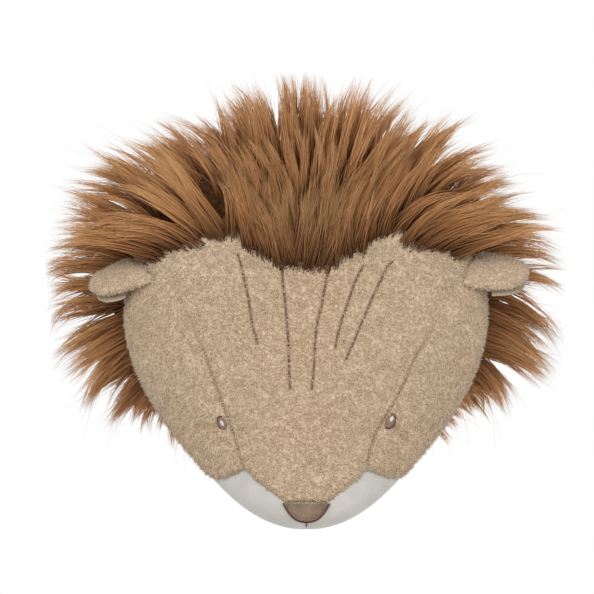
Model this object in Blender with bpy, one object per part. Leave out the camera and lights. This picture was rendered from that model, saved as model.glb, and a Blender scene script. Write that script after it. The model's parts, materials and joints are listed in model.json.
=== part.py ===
# Stuffed plush lion head that hangs on a wall.
# Metres, +Z up. The wall is the plane Y = 0 and the head looks along -Y, so +X is to the
# right of someone who faces it. The origin is the middle of the back panel, on the wall.

import math

import bmesh
import bpy
import numpy as np
from mathutils import Matrix, Vector
from mathutils.bvhtree import BVHTree

MM = 0.001

# Driving dimensions
HEAD_DEPTH = 0.198          # from the back panel to the tip of the nose
HEAD_HALF_WIDTH = 0.131     # over the cheeks
HEAD_HALF_HEIGHT = 0.110    # at the back, under the mane
PANEL_RADIUS = 0.104
PANEL_THICKNESS = 0.006
PANEL_CORNERS = 40

SEWN_GAP = 0.3 * MM         # between pieces that touch
MANE_GAP = 2.0 * MM         # between the mane's backing and the head, which both bend here
MANE_BACKING = 6.0 * MM     # the backing's thickness at the mane's back edge
HEAD_BACK = -(PANEL_THICKNESS + SEWN_GAP)
HEAD_FRONT = HEAD_BACK - HEAD_DEPTH
MANE_BACK_SHARE = 2.5 * MM / HEAD_DEPTH    # the mane ends this far along the head's depth

HEAD_COLUMNS = 52           # points round one ring of the head
HEAD_RINGS = 24
COLUMNS_PER_LOCK = 2
MANE_LOCKS = 52
LOCK_RELIEF = 0.007         # how far a lock's ridge stands forward of the grooves beside it

# The head's outline at stations along its depth: (share of the depth, share of a driving
# dimension). Heights are above the panel's middle.
TOP_LINE = (
    (0.0, 0.95), (0.15, 0.955), (0.30, 0.83), (0.42, 0.61), (0.51, 0.38), (0.60, 0.15),
    (0.70, -0.10), (0.80, -0.35), (0.88, -0.56), (0.95, -0.76), (1.0, -0.95),
)
BOTTOM_LINE = (
    (0.0, -0.91), (0.2, -1.05), (0.4, -1.12), (0.6, -1.155), (0.75, -1.165), (0.86, -1.145),
    (0.94, -1.085), (1.0, -0.97),
)
WIDEST_LINE = (
    (0.0, 0.02), (0.2, 0.03), (0.38, 0.03), (0.48, -0.13), (0.58, -0.38), (0.70, -0.62),
    (0.80, -0.78), (0.90, -0.88), (1.0, -0.96),
)
HALF_WIDTH_LINE = (
    (0.0, 0.87), (0.2, 0.97), (0.38, 1.0), (0.48, 0.96), (0.58, 0.83), (0.68, 0.675),
    (0.78, 0.52), (0.86, 0.40), (0.93, 0.285), (0.98, 0.155), (1.0, 0.03),
)
BROW_LOBE_SIDE = 0.078      # the two soft lobes above the brow, left and right of the middle
BROW_LOBE_SPREAD = 0.032
BROW_LOBE_SHARE = 0.46      # of the depth
BROW_LOBE_LENGTH = 0.15
BROW_LOBE_RISE = 0.017

# How far the tips of the locks stand from the middle, by degrees from +X towards +Z: the fur
# stands widest beside the ears, sinks in above them, and thins out beside the chin.
MANE_OUTLINE = (
    (0, 0.190), (13, 0.190), (24, 0.180), (34, 0.171), (44, 0.172), (53, 0.178), (63, 0.172),
    (75, 0.171), (90, 0.174), (108, 0.173), (118, 0.168), (128, 0.174), (138, 0.186),
    (149, 0.191), (160, 0.197), (168, 0.197), (180, 0.188), (189, 0.184), (199, 0.173),
    (209, 0.163), (220, 0.149), (232, 0.146), (250, 0.151), (270, 0.154), (292, 0.151),
    (310, 0.146), (321, 0.143), (332, 0.160), (343, 0.177), (353, 0.188), (360, 0.190),
)

# Places on the face, as (x, z) seen from the front
MUZZLE_PEAK = (0.0415, -0.0795)
MUZZLE_EDGE = (0.063, -0.0925)
MUZZLE_SLOPE = 0.64          # how steeply its seam goes on down the cheek
MUZZLE_BACK = -0.130        # the muzzle's fabric ends here under the chin
NOSE_CORNER = (0.0146, -0.0975)
NOSE_DROP = 0.0115
NOSE_THICKNESS = 2.6 * MM
EYE_PLACE = (0.0583, -0.0540)
EYE_SIZE = (3.6 * MM, 5.7 * MM, 2.2 * MM)
EYE_LEAN = 0.75              # the ovals lean outwards at the top
BROW_STITCHES = (
    ((-0.0485, 0.0530), (-0.0440, 0.0300), (-0.0350, 0.0020)),
    ((-0.0175, 0.0420), (-0.0150, 0.0180), (-0.0110, -0.0280)),
    ((0.0160, 0.0400), (0.0100, 0.0080), (0.0040, -0.0280)),
    ((0.0410, 0.0470), (0.0290, 0.0200), (0.0195, -0.0020)),
    ((0.0620, 0.0510), (0.0430, 0.0150), (0.0270, -0.0110)),
)
THREAD_RADIUS = 0.6 * MM

EAR_HALF_WIDTH = 0.0235
EAR_THICKNESS = 0.0135
EAR_CUP = 0.007
EAR_GAP = 3.2 * MM          # between an ear's root and the round side of the head
EAR_ROOT_SIDE = 0.117
EAR_ROOT_DEPTH = -0.079
# The left ear hangs a little and the right one is turned to the front
EARS = {
    -1: {"length": 0.040, "droop": 0.22, "turn": 0.02, "root_height": 0.0370, "curl": 0.45},
    1: {"length": 0.044, "droop": 0.03, "turn": 0.15, "root_height": 0.0400, "curl": 1.0},
}

LOOP_HALF_WIDTH = 0.015
LOOP_HEIGHT = 0.030
LOOP_TAPE = 0.006
LOOP_THICKNESS = 1.6 * MM

PLUSH = ("plush", (0.46, 0.36, 0.24), 0.95)
WHITE = ("white_velour", (0.60, 0.58, 0.54), 0.9)
NOSE_SUEDE = ("nose_suede", (0.27, 0.19, 0.13), 0.9)
DARK_THREAD = ("dark_thread", (0.14, 0.075, 0.06), 0.7)
EYE_THREAD = ("eye_thread", (0.27, 0.18, 0.15), 0.5)
LINING = ("ear_lining", (0.45, 0.38, 0.28), 0.85)
MANE_FUR = ("mane_fur", (0.30, 0.15, 0.065), 0.8)
FELT = ("felt", (0.42, 0.34, 0.25), 0.95)
TAPE = ("cotton_tape", (0.62, 0.57, 0.48), 0.9)


def clear_scene():
    for obj in list(bpy.data.objects):
        bpy.data.objects.remove(obj, do_unlink=True)


def material(look):
    name, colour, roughness = look
    made = bpy.data.materials.get(name) or bpy.data.materials.new(name)
    made.use_nodes = True
    shader = made.node_tree.nodes["Principled BSDF"]
    shader.inputs["Base Color"].default_value = (*colour, 1.0)
    shader.inputs["Roughness"].default_value = roughness
    shader.inputs["Metallic"].default_value = 0.0
    made.diffuse_color = (*colour, 1.0)
    return made


def add_object(name, bm, look, smooth=True):
    """Turns a bmesh into a named object with its own material."""
    bmesh.ops.recalc_face_normals(bm, faces=bm.faces)
    mesh = bpy.data.meshes.new(name)
    bm.to_mesh(mesh)
    bm.free()
    mesh.materials.append(material(look))
    if smooth:
        mesh.shade_smooth()
        mesh.set_sharp_from_angle(angle=math.radians(50))
    obj = bpy.data.objects.new(name, mesh)
    bpy.context.scene.collection.objects.link(obj)
    return obj


def smooth_value(line, share):
    """Height of a smooth curve through the points of a line, at a share of its length."""
    xs = [point[0] for point in line]
    ys = [point[1] for point in line]
    slopes = []
    for i in range(len(line)):
        low, high = max(i - 1, 0), min(i + 1, len(line) - 1)
        slopes.append((ys[high] - ys[low]) / (xs[high] - xs[low]))
    share = min(max(share, xs[0]), xs[-1])
    i = max(k for k in range(len(line) - 1) if xs[k] <= share)
    step = xs[i + 1] - xs[i]
    t = (share - xs[i]) / step
    return (
        (2 * t**3 - 3 * t**2 + 1) * ys[i]
        + (t**3 - 2 * t**2 + t) * step * slopes[i]
        + (3 * t**2 - 2 * t**3) * ys[i + 1]
        + (t**3 - t**2) * step * slopes[i + 1]
    )


def bump(value, middle, spread):
    return math.exp(-(((value - middle) / spread) ** 2))


def head_point(angle, share, outset=0.0):
    """A point of the head's skin: angle turns from +X towards +Z, share is along the depth."""
    top = smooth_value(TOP_LINE, share) * HEAD_HALF_HEIGHT
    bottom = smooth_value(BOTTOM_LINE, share) * HEAD_HALF_HEIGHT
    middle = smooth_value(WIDEST_LINE, share) * HEAD_HALF_HEIGHT
    half_width = smooth_value(HALF_WIDTH_LINE, share) * HEAD_HALF_WIDTH
    across, up = math.cos(angle), math.sin(angle)
    # The brow is squarer than an ellipse, and the jaw is more pointed.
    power = 2.0 + 0.65 * bump(share, 0.45, 0.28) if up > 0 else 2.0 - 0.35 * bump(share, 0.6, 0.3)
    height = top - middle if up > 0 else middle - bottom
    x = half_width * math.copysign(abs(across) ** (2 / power), across)
    z = middle + height * math.copysign(abs(up) ** (2 / power), up)
    if up > 0:
        lobe = bump(abs(x), BROW_LOBE_SIDE, BROW_LOBE_SPREAD)
        z += BROW_LOBE_RISE * lobe * bump(share, BROW_LOBE_SHARE, BROW_LOBE_LENGTH) * up
    outward = Vector((x / max(half_width, 1e-6) ** 2, 0, (z - middle) / max(height, 1e-6) ** 2))
    place = Vector((x, HEAD_BACK - share * HEAD_DEPTH, z))
    return place + outward.normalized() * outset


def head_shares():
    """Rings close up towards the nose, where the head rounds off."""
    return [math.sin(i / (HEAD_RINGS - 1) * math.pi / 2) ** 0.85 for i in range(HEAD_RINGS)]


def turn_angles(count):
    return [2 * math.pi * i / count for i in range(count)]


def skin_rings(bm, rings, cap_start=True, cap_end=True, closed_loop=False):
    """Joins rings of points with faces, and fills the first and last ring unless they meet."""
    made = [[bm.verts.new(point) for point in ring] for ring in rings]
    pairs = list(zip(made, made[1:]))
    if closed_loop:
        pairs.append((made[-1], made[0]))
    for near, far in pairs:
        for i in range(len(near)):
            j = (i + 1) % len(near)
            bm.faces.new((near[i], near[j], far[j], far[i]))
    if cap_start and not closed_loop:
        bm.faces.new(made[0])
    if cap_end and not closed_loop:
        bm.faces.new(made[-1])
    return made


def ladder_cap(bm, ring):
    """Fills a flattened ring with narrow faces that run across it, so it can follow a curve."""
    last = len(ring) // 2
    for i in range(last):
        corners = [ring[i], ring[i + 1], ring[-i - 1]]
        if i > 0:
            corners.append(ring[-i])
        bm.faces.new(dict.fromkeys(corners))


def head_form():
    """The whole stuffed head, which is then parted into the face and the muzzle."""
    bm = bmesh.new()
    angles = turn_angles(HEAD_COLUMNS)
    skin_rings(bm, [[head_point(a, s) for a in angles] for s in head_shares()])
    return bm


def surface_tree(bm):
    bmesh.ops.triangulate(bm, faces=bm.faces)
    return BVHTree.FromBMesh(bm)


def on_face(skin, x, z, outset=0.0):
    """Drops a place seen from the front onto the skin: the point, moved out, and the normal."""
    place, normal, _, _ = skin.ray_cast(Vector((x, -0.5, z)), Vector((0, 1, 0)))
    if normal.y > 0:
        normal = -normal
    return place + normal * outset, normal


def muzzle_cutter(name, growth):
    """A block whose front outline is the muzzle's seam, as a helper for the Booleans."""
    peak_x, peak_z = MUZZLE_PEAK
    edge_x, edge_z = MUZZLE_EDGE
    nose_x, nose_z = NOSE_CORNER
    half = [
        (nose_x, nose_z), (peak_x, peak_z), (edge_x, edge_z),
        (HEAD_HALF_WIDTH, edge_z - MUZZLE_SLOPE * (HEAD_HALF_WIDTH - edge_x)),
    ]
    seam = [(-x, z + growth) for x, z in reversed(half)] + [(x, z + growth) for x, z in half]
    low = -2 * HEAD_HALF_HEIGHT
    outline = seam + [(HEAD_HALF_WIDTH, low), (-HEAD_HALF_WIDTH, low)]
    bm = bmesh.new()
    skin_rings(
        bm,
        [
            [(x, y, z) for x, z in outline]
            for y in (HEAD_FRONT - 0.02, MUZZLE_BACK + growth)
        ],
    )
    cutter = add_object(name, bm, WHITE, smooth=False)
    cutter.hide_render = True
    cutter.display_type = "WIRE"
    return cutter


def cut(obj, cutter, operation):
    modifier = obj.modifiers.new(operation.title(), "BOOLEAN")
    modifier.operation = operation
    modifier.solver = "EXACT"
    modifier.object = cutter


def build_head():
    face = add_object("face_plush", head_form(), PLUSH)
    cut(face, muzzle_cutter("muzzle_seam_outer", SEWN_GAP), "DIFFERENCE")
    muzzle = add_object("muzzle", head_form(), WHITE)
    cut(muzzle, muzzle_cutter("muzzle_seam", 0.0), "INTERSECT")


def build_nose(skin):
    """A half-moon patch that wraps the tip, with its flat side up."""
    nose_x, nose_z = NOSE_CORNER
    rings, around, inset = 5, 22, 0.4 * MM
    bm = bmesh.new()
    layers = []
    for outset in (SEWN_GAP + 0.6 * MM, NOSE_THICKNESS):
        grid = []
        for r in range(1, rings + 1):
            share = r / rings
            edge = outset if share < 1 or outset < MM else outset * 0.6
            row = []
            for i in range(around + 1):
                a = math.pi * i / around
                x = nose_x * share * math.cos(a)
                z = nose_z - inset - NOSE_DROP * share * math.sin(a) ** 1.8
                row.append(bm.verts.new(on_face(skin, x, z, edge)[0]))
            grid.append(row)
        hub = bm.verts.new(on_face(skin, 0, nose_z - inset, outset)[0])
        layers.append((hub, grid))
    for hub, grid in layers:
        for i in range(around):
            bm.faces.new((hub, grid[0][i], grid[0][i + 1]))
            for near, far in zip(grid, grid[1:]):
                bm.faces.new((near[i], far[i], far[i + 1], near[i + 1]))
    (low_hub, low), (high_hub, high) = layers
    rims = []
    for hub, grid in layers:
        right = [row[0] for row in grid]
        left = [row[-1] for row in grid]
        rims.append([hub, *right, *grid[-1][1:-1], *reversed(left)])
    for i in range(len(rims[0])):
        j = (i + 1) % len(rims[0])
        bm.faces.new((rims[0][i], rims[0][j], rims[1][j], rims[1][i]))
    add_object("nose", bm, NOSE_SUEDE)


def smooth_path(points, steps):
    """Points of a smooth curve through a few (x, z) places."""
    xs = [(i / (len(points) - 1), point[0]) for i, point in enumerate(points)]
    zs = [(i / (len(points) - 1), point[1]) for i, point in enumerate(points)]
    return [(smooth_value(xs, i / steps), smooth_value(zs, i / steps)) for i in range(steps + 1)]


def thread(name, places, radius, look=DARK_THREAD):
    """A line of embroidery thread, as a curve with a round bevel and filled ends."""
    data = bpy.data.curves.new(name, "CURVE")
    data.dimensions = "3D"
    data.bevel_depth = radius
    data.bevel_resolution = 1
    data.use_fill_caps = True
    spline = data.splines.new("POLY")
    spline.points.add(len(places) - 1)
    for point, place in zip(spline.points, places):
        point.co = (*place, 1.0)
    data.materials.append(material(look))
    obj = bpy.data.objects.new(name, data)
    bpy.context.scene.collection.objects.link(obj)
    return obj


def build_stitches(skin):
    lift = THREAD_RADIUS + SEWN_GAP + 0.1 * MM
    for number, points in enumerate(BROW_STITCHES, 1):
        places = [on_face(skin, x, z, lift)[0] for x, z in smooth_path(points, 9)]
        thread(f"brow_stitch_{number}", places, THREAD_RADIUS)
    nose_x, nose_z = NOSE_CORNER
    cord = 0.8 * MM
    margin = cord + SEWN_GAP
    places = []
    for i in range(17):
        a = math.pi * i / 16
        x = (nose_x + margin) * math.cos(a)
        z = nose_z - 0.6 * MM - (NOSE_DROP + margin) * math.sin(a) ** 1.8
        places.append(on_face(skin, x, z, cord + SEWN_GAP + 0.15 * MM)[0])
    thread("nose_edging", places, cord)
    start = nose_z - NOSE_DROP - 2 * margin - 1.2 * MM
    length = 8.0 * MM
    places = [on_face(skin, 0, start - length * i / 5, lift)[0] for i in range(6)]
    thread("mouth_stitch", places, THREAD_RADIUS)


def build_eye(skin, name, side):
    """A raised oval of satin stitch, flat against the face."""
    half_across, half_tall, dome = EYE_SIZE
    place, normal = on_face(skin, side * EYE_PLACE[0], EYE_PLACE[1], SEWN_GAP + 0.15 * MM)
    bm = bmesh.new()
    bmesh.ops.create_uvsphere(bm, u_segments=16, v_segments=10, radius=1.0)
    bmesh.ops.bisect_plane(
        bm,
        geom=bm.verts[:] + bm.edges[:] + bm.faces[:],
        plane_co=(0, 0, 0),
        plane_no=(0, 0, 1),
        clear_inner=True,
    )
    bmesh.ops.holes_fill(bm, edges=[edge for edge in bm.edges if edge.is_boundary])
    bmesh.ops.scale(bm, vec=(half_across, half_tall, dome), verts=bm.verts)
    upright = Vector((side * EYE_LEAN, 0, 1))
    across = upright.cross(normal).normalized()
    tall = normal.cross(across)
    turn = Matrix((across, tall, normal)).transposed().to_4x4()
    bmesh.ops.transform(bm, matrix=Matrix.Translation(place) @ turn, verts=bm.verts)
    add_object(name, bm, EYE_THREAD)


def ear_frame(side):
    """Root, outward direction, crosswise direction and the back's normal of an ear."""
    ear = EARS[side]
    outward = Vector((side, 0.06, -ear["droop"])).normalized()
    back = Vector((side * ear["droop"], -ear["turn"], 1.0))
    back = (back - outward * back.dot(outward)).normalized()
    across = outward.cross(back).normalized()
    root = Vector((side * EAR_ROOT_SIDE, EAR_ROOT_DEPTH, ear["root_height"]))
    return root, outward, across, back


def ear_section(side, share, outset, thickness, reach, around=20):
    """One slice across a cupped ear, as a ring of points."""
    root, outward, across, back = ear_frame(side)
    # The outline from above is blunt, and so are the section's two edges.
    half = EAR_HALF_WIDTH * reach * max(1 - max((share - 0.25) / 0.75, 0) ** 2.6, 0.0) ** (1 / 2.2)
    half = max(half, 0.6 * MM)
    ring = []
    for angle in turn_angles(around):
        b = half * math.copysign(abs(math.cos(angle)) ** 0.75, math.cos(angle))
        curl = EARS[side]["curl"]
        curl = curl + (1 - curl) * share if (across * b).y < 0 else 1.0
        cup = EAR_CUP * curl * (b / EAR_HALF_WIDTH) ** 2 + 0.004 * share**2
        full = math.sqrt(max(1 - share**4 * 0.80, 0))
        lift = thickness / 2 * full * math.copysign(abs(math.sin(angle)) ** 0.8, math.sin(angle))
        place = root + outward * (share * EARS[side]["length"] * reach) + across * b
        ring.append(place + back * (lift - cup + outset))
    return ring


def clear_of_skin(ring, skin, side, gap, touching):
    """Keeps an ear's ring outside the head; a touching ring lies just off it all round."""
    moved = []
    for point in ring:
        start = Vector((side * 0.4, point.y, point.z))
        place, _, _, _ = skin.ray_cast(start, Vector((-side, 0, 0)))
        across = point.x * side
        if place is not None:
            least = place.x * side + gap
            across = least if touching else max(across, least)
        moved.append(Vector((side * across, point.y, point.z)))
    return moved


def build_ear(skin, name, side):
    shares = (0.0, 0.18, 0.36, 0.54, 0.70, 0.83, 0.92, 0.975, 1.0)
    rings = []
    for share in shares:
        ring = ear_section(side, share, 0.0, EAR_THICKNESS, 1.0)
        gap = EAR_GAP + share * EARS[side]["length"] * 0.6
        rings.append(clear_of_skin(ring, skin, side, gap, share == 0))
    bm = bmesh.new()
    made = skin_rings(bm, rings, cap_start=False)
    ladder_cap(bm, made[0])
    add_object(name, bm, PLUSH)


def build_ear_lining(skin, name, side):
    """The smooth inner face of an ear, a thin pad that lies in its cup."""
    thickness = 2.6 * MM
    drop = -(EAR_THICKNESS / 2 + thickness / 2 + SEWN_GAP)
    shares = (0.36, 0.48, 0.62, 0.75, 0.86, 0.94, 0.98)
    rings = []
    for share in shares:
        ring = ear_section(side, share, drop, thickness, 0.97)
        gap = 2.0 * MM + (share - shares[0]) * EARS[side]["length"] * 0.6
        rings.append(clear_of_skin(ring, skin, side, gap, False))
    bm = bmesh.new()
    skin_rings(bm, rings)
    add_object(name, bm, LINING)


def hairline_share(angle):
    """Where the mane's front edge meets the head: far forward on the brow, back at the ears."""
    up = math.sin(angle)
    forward = 0.485 - 0.02 * abs(math.cos(angle)) if up > 0 else 0.30
    brow = 1 / (1 + math.exp(-(up - 0.58) / 0.03))
    low = 0.205 + 0.06 * max(-up, 0)
    return low + (forward - low) * brow if up > 0 else low


def mane_reach(angle):
    """How far the tips of the locks stand from the middle, seen from the front."""
    return smooth_value(MANE_OUTLINE, math.degrees(angle) % 360)


def lock_shape(angle, tier, sizes):
    """1 on the tip of a lock and 0 in the groove beside it; the tiers are set out of step."""
    place = angle / (2 * math.pi) * MANE_LOCKS + 0.5 * (tier % 2)
    number = int(math.floor(place)) % MANE_LOCKS
    within = place - math.floor(place)
    return (1 - abs(2 * within - 1)) * sizes[tier % len(sizes)][number]


def mane_profile(angle, sizes):
    """The mane's outer line at one angle, from the hairline forwards, outwards and back."""
    start_share = hairline_share(angle)
    edge = head_point(angle, start_share, MANE_GAP + 3.0 * MM)
    reach = mane_reach(angle)
    outward = Vector((math.cos(angle), 0, math.sin(angle)))
    start = edge.dot(outward)
    front_y = edge.y
    side = Vector((edge.x, 0, edge.z)) - outward * start
    points = []
    # Each station: share of the way out, share of the way back, tier of locks, their depth
    stations = (
        (0.00, 0.00, 0, 0.00), (0.16, 0.02, 0, 0.04), (0.34, 0.07, 0, 0.10),
        (0.46, 0.16, 1, 0.06), (0.62, 0.22, 1, 0.13), (0.72, 0.34, 2, 0.08),
        (0.88, 0.42, 2, 0.20), (1.00, 0.54, 2, 0.30), (0.86, 0.66, 3, 0.14),
        (0.93, 0.80, 3, 0.24), (0.60, 0.93, 3, 0.06),
    )
    back_y = HEAD_BACK - MANE_BACK_SHARE * HEAD_DEPTH
    for out, back, tier, depth in stations:
        lock = lock_shape(angle, tier, sizes)
        radius = start + (reach - start) * out * (1 - depth * (1.15 - lock))
        keep = (1 - out) ** 1.5
        ridge = LOCK_RELIEF * (lock - 0.45) * math.sin(math.pi * min(out, 1.0)) * (back < 0.5)
        y = front_y + (back_y - front_y) * back - ridge
        points.append(side * keep + outward * radius + Vector((0, y, 0)))
    points.append(head_point(angle, MANE_BACK_SHARE, MANE_GAP + MANE_BACKING))
    return points


def build_mane():
    """A deep collar of fur round the back of the head, cut into rows of pointed locks."""
    rng = np.random.default_rng(7)
    sizes = rng.uniform(0.55, 1.0, (4, MANE_LOCKS))
    inner_steps = 7
    columns = []
    for angle in turn_angles(MANE_LOCKS * COLUMNS_PER_LOCK):
        edge_share = hairline_share(angle)
        inner = []
        for i in range(inner_steps + 1):
            share = MANE_BACK_SHARE + (edge_share - MANE_BACK_SHARE) * i / inner_steps
            inner.append(head_point(angle, share, MANE_GAP))
        columns.append(inner + mane_profile(angle, sizes))
    bm = bmesh.new()
    skin_rings(bm, columns, closed_loop=True)
    add_object("mane", bm, MANE_FUR)


def build_panel():
    """The stiff felt panel that closes the back and lies on the wall."""
    soft = 1.2 * MM
    angles = turn_angles(PANEL_CORNERS)
    rings = []
    for radius, y in (
        (PANEL_RADIUS - soft, 0.0),
        (PANEL_RADIUS, -soft),
        (PANEL_RADIUS, -(PANEL_THICKNESS - soft)),
        (PANEL_RADIUS - soft, -PANEL_THICKNESS),
    ):
        rings.append([(radius * math.cos(a), y, radius * math.sin(a)) for a in angles])
    bm = bmesh.new()
    skin_rings(bm, rings)
    add_object("back_panel", bm, FELT)


def build_loop():
    """A flat tape loop that stands up from the panel's top edge, behind the mane."""
    foot = PANEL_RADIUS + SEWN_GAP
    middle = foot + LOOP_HEIGHT - LOOP_HALF_WIDTH
    outline = []
    for width in (LOOP_HALF_WIDTH, LOOP_HALF_WIDTH - LOOP_TAPE):
        arc = [math.pi * i / 12 for i in range(13)]
        row = [(width, foot)]
        row += [(width * math.cos(a), middle + width * math.sin(a)) for a in arc]
        row += [(-width, foot)]
        outline.append(row)
    bm = bmesh.new()
    front = -PANEL_THICKNESS / 2 - LOOP_THICKNESS / 2
    columns = []
    for (x0, z0), (x1, z1) in zip(*outline):
        back = front + LOOP_THICKNESS
        columns.append([(x0, front, z0), (x0, back, z0), (x1, back, z1), (x1, front, z1)])
    skin_rings(bm, columns)
    add_object("hanging_loop", bm, TAPE, smooth=False)


def main():
    clear_scene()
    build_head()
    skin = surface_tree(head_form())
    build_nose(skin)
    build_stitches(skin)
    for side, word in ((-1, "left"), (1, "right")):
        build_eye(skin, f"eye_{word}", side)
        build_ear(skin, f"ear_{word}", side)
        build_ear_lining(skin, f"ear_lining_{word}", side)
    build_mane()
    build_panel()
    build_loop()


main()
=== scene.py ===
import json
import math
import bmesh
import bpy
import numpy as np
from mathutils import Matrix, Vector
from mathutils.bvhtree import BVHTree

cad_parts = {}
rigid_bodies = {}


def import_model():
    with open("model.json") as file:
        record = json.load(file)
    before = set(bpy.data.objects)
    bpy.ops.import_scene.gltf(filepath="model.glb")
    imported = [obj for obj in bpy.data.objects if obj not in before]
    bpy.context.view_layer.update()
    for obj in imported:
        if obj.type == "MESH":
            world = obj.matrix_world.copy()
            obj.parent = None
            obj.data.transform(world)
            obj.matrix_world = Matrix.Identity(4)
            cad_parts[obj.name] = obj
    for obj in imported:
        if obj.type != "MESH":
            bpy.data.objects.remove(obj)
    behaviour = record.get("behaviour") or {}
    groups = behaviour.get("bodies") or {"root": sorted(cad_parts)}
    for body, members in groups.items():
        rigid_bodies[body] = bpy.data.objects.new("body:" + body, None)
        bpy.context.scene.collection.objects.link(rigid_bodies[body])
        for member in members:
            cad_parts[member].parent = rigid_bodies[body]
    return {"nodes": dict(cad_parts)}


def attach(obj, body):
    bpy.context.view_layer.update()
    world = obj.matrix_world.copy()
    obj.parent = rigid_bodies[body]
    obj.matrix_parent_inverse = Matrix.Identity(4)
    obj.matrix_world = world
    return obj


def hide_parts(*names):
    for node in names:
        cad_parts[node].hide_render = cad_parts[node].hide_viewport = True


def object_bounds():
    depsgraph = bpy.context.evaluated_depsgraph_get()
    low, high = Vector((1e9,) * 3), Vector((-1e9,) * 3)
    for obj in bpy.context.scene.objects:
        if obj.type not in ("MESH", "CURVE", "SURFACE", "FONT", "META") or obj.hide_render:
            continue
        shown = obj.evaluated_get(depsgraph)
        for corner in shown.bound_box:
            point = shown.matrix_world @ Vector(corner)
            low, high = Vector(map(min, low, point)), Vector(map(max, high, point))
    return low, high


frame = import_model()
cadLow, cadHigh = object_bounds()
mm = 0.001
photoTilt = math.radians(15)           # the photograph looks down on the head this much
rng = np.random.default_rng(11)


def tone(red, green, blue):
    # screen values from 0 to 255, as the linear values that shaders take
    return tuple(((v / 255 + 0.055) / 1.055) ** 2.4 for v in (red, green, blue))


# Helpers for meshes

def copyOfNode(*nodes):
    # one bmesh of the CAD nodes' solids, with their loose triangles merged
    bm = bmesh.new()
    for node in nodes:
        bm.from_mesh(frame["nodes"][node].data)
    bmesh.ops.remove_doubles(bm, verts=bm.verts, dist=1e-5)
    return bm


def linked(name, data):
    item = bpy.data.objects.new(name, data)
    bpy.context.scene.collection.objects.link(item)
    return item


def newPiece(name, bm, smooth=True):
    mesh = bpy.data.meshes.new(name)
    bm.to_mesh(mesh)
    bm.free()
    piece = linked(name, mesh)
    if smooth:
        mesh.shade_smooth()
    return piece


def evaluatedMesh(item):
    bpy.context.view_layer.update()
    depsgraph = bpy.context.evaluated_depsgraph_get()
    return bpy.data.meshes.new_from_object(item.evaluated_get(depsgraph), depsgraph=depsgraph)


def meshOfCurve(curve):
    # the curve itself isn't kept
    holder = linked(curve.name, curve)
    mesh = evaluatedMesh(holder)
    bpy.data.objects.remove(holder)
    bpy.data.curves.remove(curve)
    return mesh


def applyModifiers(piece):
    mesh = evaluatedMesh(piece)
    piece.modifiers.clear()
    old = piece.data
    piece.data = mesh
    bpy.data.meshes.remove(old)
    mesh.name = piece.name
    return mesh


def remeshed(piece, voxel, smoothing):
    remesh = piece.modifiers.new("Remesh", "REMESH")
    remesh.mode = "VOXEL"
    remesh.voxel_size = voxel
    remesh.use_smooth_shade = True
    soften = piece.modifiers.new("Soften", "SMOOTH")
    soften.factor = 0.5
    soften.iterations = smoothing
    applyModifiers(piece)
    return piece


def points(mesh):
    places = np.empty(len(mesh.vertices) * 3)
    mesh.vertices.foreach_get("co", places)
    return places.reshape(-1, 3)


def normals(mesh):
    out = np.empty(len(mesh.vertices) * 3, dtype=np.float32)
    mesh.vertex_normals.foreach_get("vector", out)
    return out.reshape(-1, 3).astype(float)


def movePoints(mesh, places):
    mesh.vertices.foreach_set("co", np.ascontiguousarray(places).ravel())
    mesh.update()


def floatLayer(mesh, name, values):
    layer = mesh.attributes.new(name, "FLOAT", "POINT")
    layer.data.foreach_set("value", np.ascontiguousarray(values, dtype=np.float32))


def treeOf(piece):
    bm = bmesh.new()
    bm.from_mesh(piece.data)
    tree = BVHTree.FromBMesh(bm)
    bm.free()
    return tree


def settle(piece, *nodes, slot=None, finish=None):
    # every piece rides on the one body and stands for its CAD nodes
    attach(piece, "root")
    if nodes:
        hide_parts(*nodes)
    if finish:
        piece.data.materials.clear()
        piece.data.materials.append(finish)
    print("made", piece.name, len(piece.data.polygons), "faces")


def smoothLine(places, steps):
    # a Catmull-Rom curve through a few places, with even steps between them
    raw = np.array(places, dtype=float)
    ends = np.vstack([2 * raw[0] - raw[1], raw, 2 * raw[-1] - raw[-2]])
    line = []
    for i in range(len(raw) - 1):
        a, b, c, d = ends[i:i + 4]
        for t in np.linspace(0, 1, steps, endpoint=False):
            square, cube = 2 * a - 5 * b + 4 * c - d, 3 * b - a - 3 * c + d
            line.append(0.5 * (2 * b + (c - a) * t + square * t**2 + cube * t**3))
    line.append(raw[-1])
    return np.array(line)


def dropOnto(tree, places, outset=0.0):
    # places seen from the front, as (x, z), dropped straight back onto the fabric
    found = []
    for x, z in places:
        place, normal, _, _ = tree.ray_cast(Vector((x, -0.5, z)), Vector((0, 1, 0)))
        if place is not None:
            found.append(place + normal * outset)
    return np.array(found)


def nearest(places, line):
    # how far each place is from a line of close points
    best = np.full(len(places), 1.0)
    for chunk in np.array_split(np.arange(len(places)), max(1, len(places) // 4000)):
        gaps = np.linalg.norm(places[chunk, None, :] - line[None, :, :], axis=2)
        best[chunk] = gaps.min(axis=1)
    return best


# Materials

def newMaterial(name, roughness, sheen=0.0, specular=0.3):
    material = bpy.data.materials.new(name)
    material.use_nodes = True
    shader = material.node_tree.nodes["Principled BSDF"]
    shader.inputs["Roughness"].default_value = roughness
    shader.inputs["Specular IOR Level"].default_value = specular
    shader.inputs["Sheen Weight"].default_value = sheen
    shader.inputs["Sheen Roughness"].default_value = 0.4
    return material, material.node_tree.nodes, material.node_tree.links, shader


def addPlace(nodes, links, texture):
    # every pattern lies on the object's own coordinates
    links.new(nodes.new("ShaderNodeTexCoord").outputs["Object"], texture.inputs["Vector"])


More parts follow.
